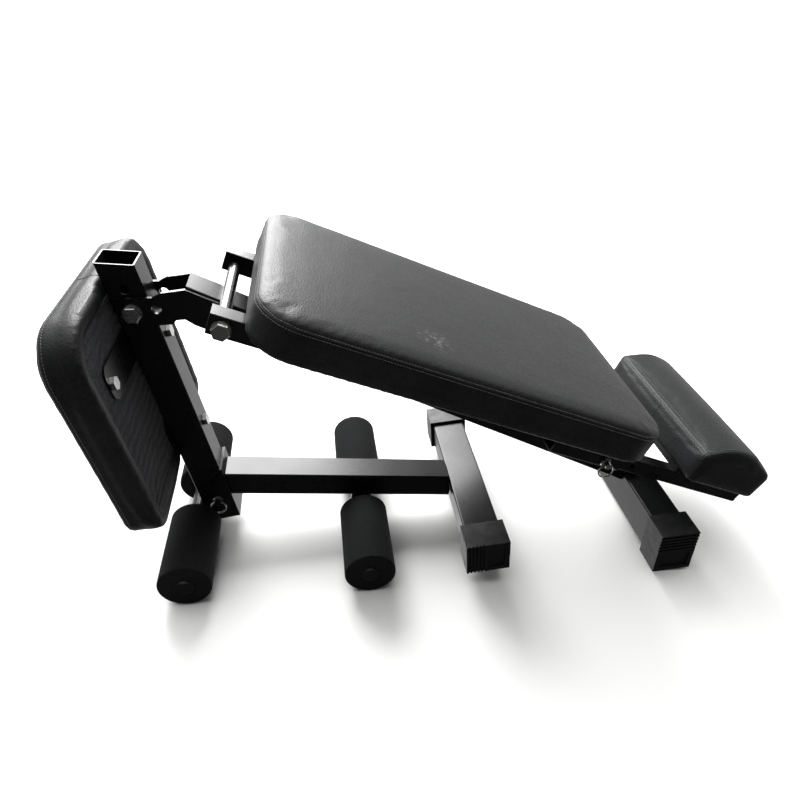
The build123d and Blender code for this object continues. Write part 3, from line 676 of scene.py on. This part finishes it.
def makeSeatPad(values):
    base, top, rim = values["base"], values["top"], values["rim"]
    profile = [(rim + 24, values["cloth"]), (rim + 3, values["cloth"]), (rim, values["cloth"] - 1),
               (rim - 4, base + 1), (8, base), (2.5, base + 1.6), (0.6, base + 6),
               (0, base + 18), (0.4, top - 16), (1.6, top - 10), (6, top - 4.5), (12, top - 1.2),
               (26, top), (60, top + 1.0), (110, top + 1.6), (150, top + 1.8)]
    loops = []
    for inset, h in profile:
        loop = []
        for s, y, height in outlineLoop(values, inset, h):
            # The folded edge rises clear of the seat tube where the tube passes under it.
            away = min(max((abs(y) - values["tubeHalf"]) / values["notchSlope"], 0), 1)
            if height < values["foldTop"]:
                height = height * away + values["notchTop"] * (1 - away)
            loop.append((s, y, height))
        loops.append(loop)
    pad = loft("seatPadVinyl", seatFrame, loops)
    inflate(pad, seatFrame, base + 14, values)
    finishPad(pad, "front_frame", "seat_pad", vinylBlack)
    ring = partial(ringRound, seatFrame, values)
    seam("seatPadTopSeam", pad, ring(top - 9.0), True, "front_frame")
    stitchRow("seatPadStitchesUpper", pad, ring(top - 5.5), True, "front_frame")
    stitchRow("seatPadStitchesLower", pad, ring(top - 13.0), True, "front_frame")
    end = values["start"] + values["length"] + 4
    points = [seatFrame.at(end, -6, h) for h in range(26, 70, 4)]
    seam("seatPadRearSeam", pad, points, False, "front_frame")


makeSeatPad(seatPadValues)
print("seat pad made")


backingValues = {"rings": 26, "tuck": 2.5, "sink": 0.9, "coarse": 0.35, "coarseCount": 17,
                 "fine": 0.25, "fineCount": 41, "finePhase": 1.3, "slackFrom": 0.55,
                 "hemRadius": 1.3, "hemSink": 1.4}


def makeBacking(pad, values):
    # Dust cloth inside the seat's folded rim, with soft tension creases near its edge.
    edge = [(s, y) for s, y, _ in outlineLoop(pad, pad["rim"] + values["tuck"], 0)]
    middle = (pad["start"] + pad["length"] / 2, 0.0)
    rings, slackFrom = values["rings"], values["slackFrom"]
    verts, faces = [], []
    count = len(edge)
    for ring in range(rings):
        t = 1 - ring / rings
        for i, (s, y) in enumerate(edge):
            angle = 2 * math.pi * i / count
            crease = (values["coarse"] * math.sin(values["coarseCount"] * angle)
                      + values["fine"] * math.sin(values["fineCount"] * angle
                                                  + values["finePhase"]))
            slack = max(0.0, (t - slackFrom) / (1 - slackFrom))
            lift = crease * slack * (1 - (2 * t - 1) ** 8 * 0.5)
            verts.append(seatFrame.at(middle[0] + (s - middle[0]) * t,
                                      middle[1] + (y - middle[1]) * t,
                                      pad["cloth"] - values["sink"] - lift))
    for ring in range(rings - 1):
        for i in range(count):
            j = (i + 1) % count
            a = ring * count
            faces.append((a + i, a + j, a + count + j, a + count + i))
    verts.append(seatFrame.at(middle[0], middle[1], pad["cloth"] - values["sink"]))
    last = (rings - 1) * count
    faces += [(last + i, last + (i + 1) % count, len(verts) - 1) for i in range(count)]
    cloth = meshObject("seatBackingCloth", verts, faces)
    outwardNormals(cloth)
    smooth(cloth)
    cloth.data.materials.append(feltBlack)
    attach(cloth, "front_frame")
    edgePoints = [seatFrame.at(s, y, pad["cloth"] - values["hemSink"]) for s, y in edge]
    alongPath("seatBackingHem", edgePoints, True, seamCord, cordInputs,
              {"radius": values["hemRadius"] * mm, "material": feltBlack}, "front_frame")


makeBacking(seatPadValues, backingValues)
print("seat backing made")


stageValues = {"floor": "#f6f6f5", "floorHalf": 15, "floorDrop": 0.0005, "world": "#fdfdfc",
               "darkFrom": -0.3, "whiteFrom": 0.3, "dark": 0.05, "white": 1.08}


def makeStage(values):
    # A paper floor, and a room that is white behind the bench and dark in front of it.
    half, drop = values["floorHalf"], values["floorDrop"]
    corners = [(x * half, y * half, -drop) for x, y in ((-1, -1), (1, -1), (1, 1), (-1, 1))]
    floor = meshObject("floor", corners, [(0, 1, 2, 3)])
    floor.data.materials.append(newMaterial("paper seamlessWhite", values["floor"], 0.9)[0])
    floor.visible_glossy = False  # upright faces mirror the dark room in front, not the paper
    world = bpy.data.worlds.new("studio")
    bpy.context.scene.world = world
    world.use_nodes = True
    tree = world.node_tree
    direction = addNode(tree, "ShaderNodeTexCoord").outputs["Generated"]
    split = addNode(tree, "ShaderNodeSeparateXYZ", {"Vector": direction})
    light = remap(tree, split.outputs["Y"], values["darkFrom"], values["whiteFrom"],
                  values["dark"], values["white"])
    tree.links.new(light, tree.nodes["Background"].inputs["Strength"])
    tree.nodes["Background"].inputs["Color"].default_value = hexColour(values["world"])


lampValues = {"backPlace": (-0.7, 2.5, 2.0), "backTarget": (0, 0, 0.3), "backSize": 2.0,
              "backPower": 230, "skyPower": 2.3, "skySpread": 70, "skyTurn": (-14, -8, 0)}


def addLamp(light):
    lamp = bpy.data.objects.new(light.name, light)
    bpy.context.scene.collection.objects.link(lamp)
    return lamp


def makeLamps(values):
    # A large soft lamp behind the bench, and a broad dim sky from above it.
    back = bpy.data.lights.new("back", "AREA")
    back.shape = "SQUARE"
    back.size = values["backSize"]
    back.energy = values["backPower"]
    backLamp = addLamp(back)
    backLamp.location = values["backPlace"]
    aim = Vector(values["backTarget"]) - Vector(values["backPlace"])
    backLamp.rotation_euler = aim.to_track_quat("-Z", "Y").to_euler()
    sky = bpy.data.lights.new("sky", "SUN")
    sky.energy = values["skyPower"]
    sky.angle = math.radians(values["skySpread"])
    addLamp(sky).rotation_euler = [math.radians(angle) for angle in values["skyTurn"]]


cameraValues = {"place": (-0.2149, -0.8239, 0.8261), "turn": (55.32, -3.21, -7.68),
                "lens": 27.45, "sensor": 36.0}


def makeCamera(values):
    camera = bpy.data.cameras.new("camera")
    camera.lens = values["lens"]
    camera.sensor_width = values["sensor"]
    camera.clip_start = 0.01
    eye = bpy.data.objects.new("camera", camera)
    bpy.context.scene.collection.objects.link(eye)
    eye.location = values["place"]
    eye.rotation_euler = [math.radians(angle) for angle in values["turn"]]
    bpy.context.scene.camera = eye


makeStage(stageValues)
makeLamps(lampValues)
bpy.context.scene.view_settings.view_transform = "Standard"
makeCamera(cameraValues)
print("stage, lights and camera made")
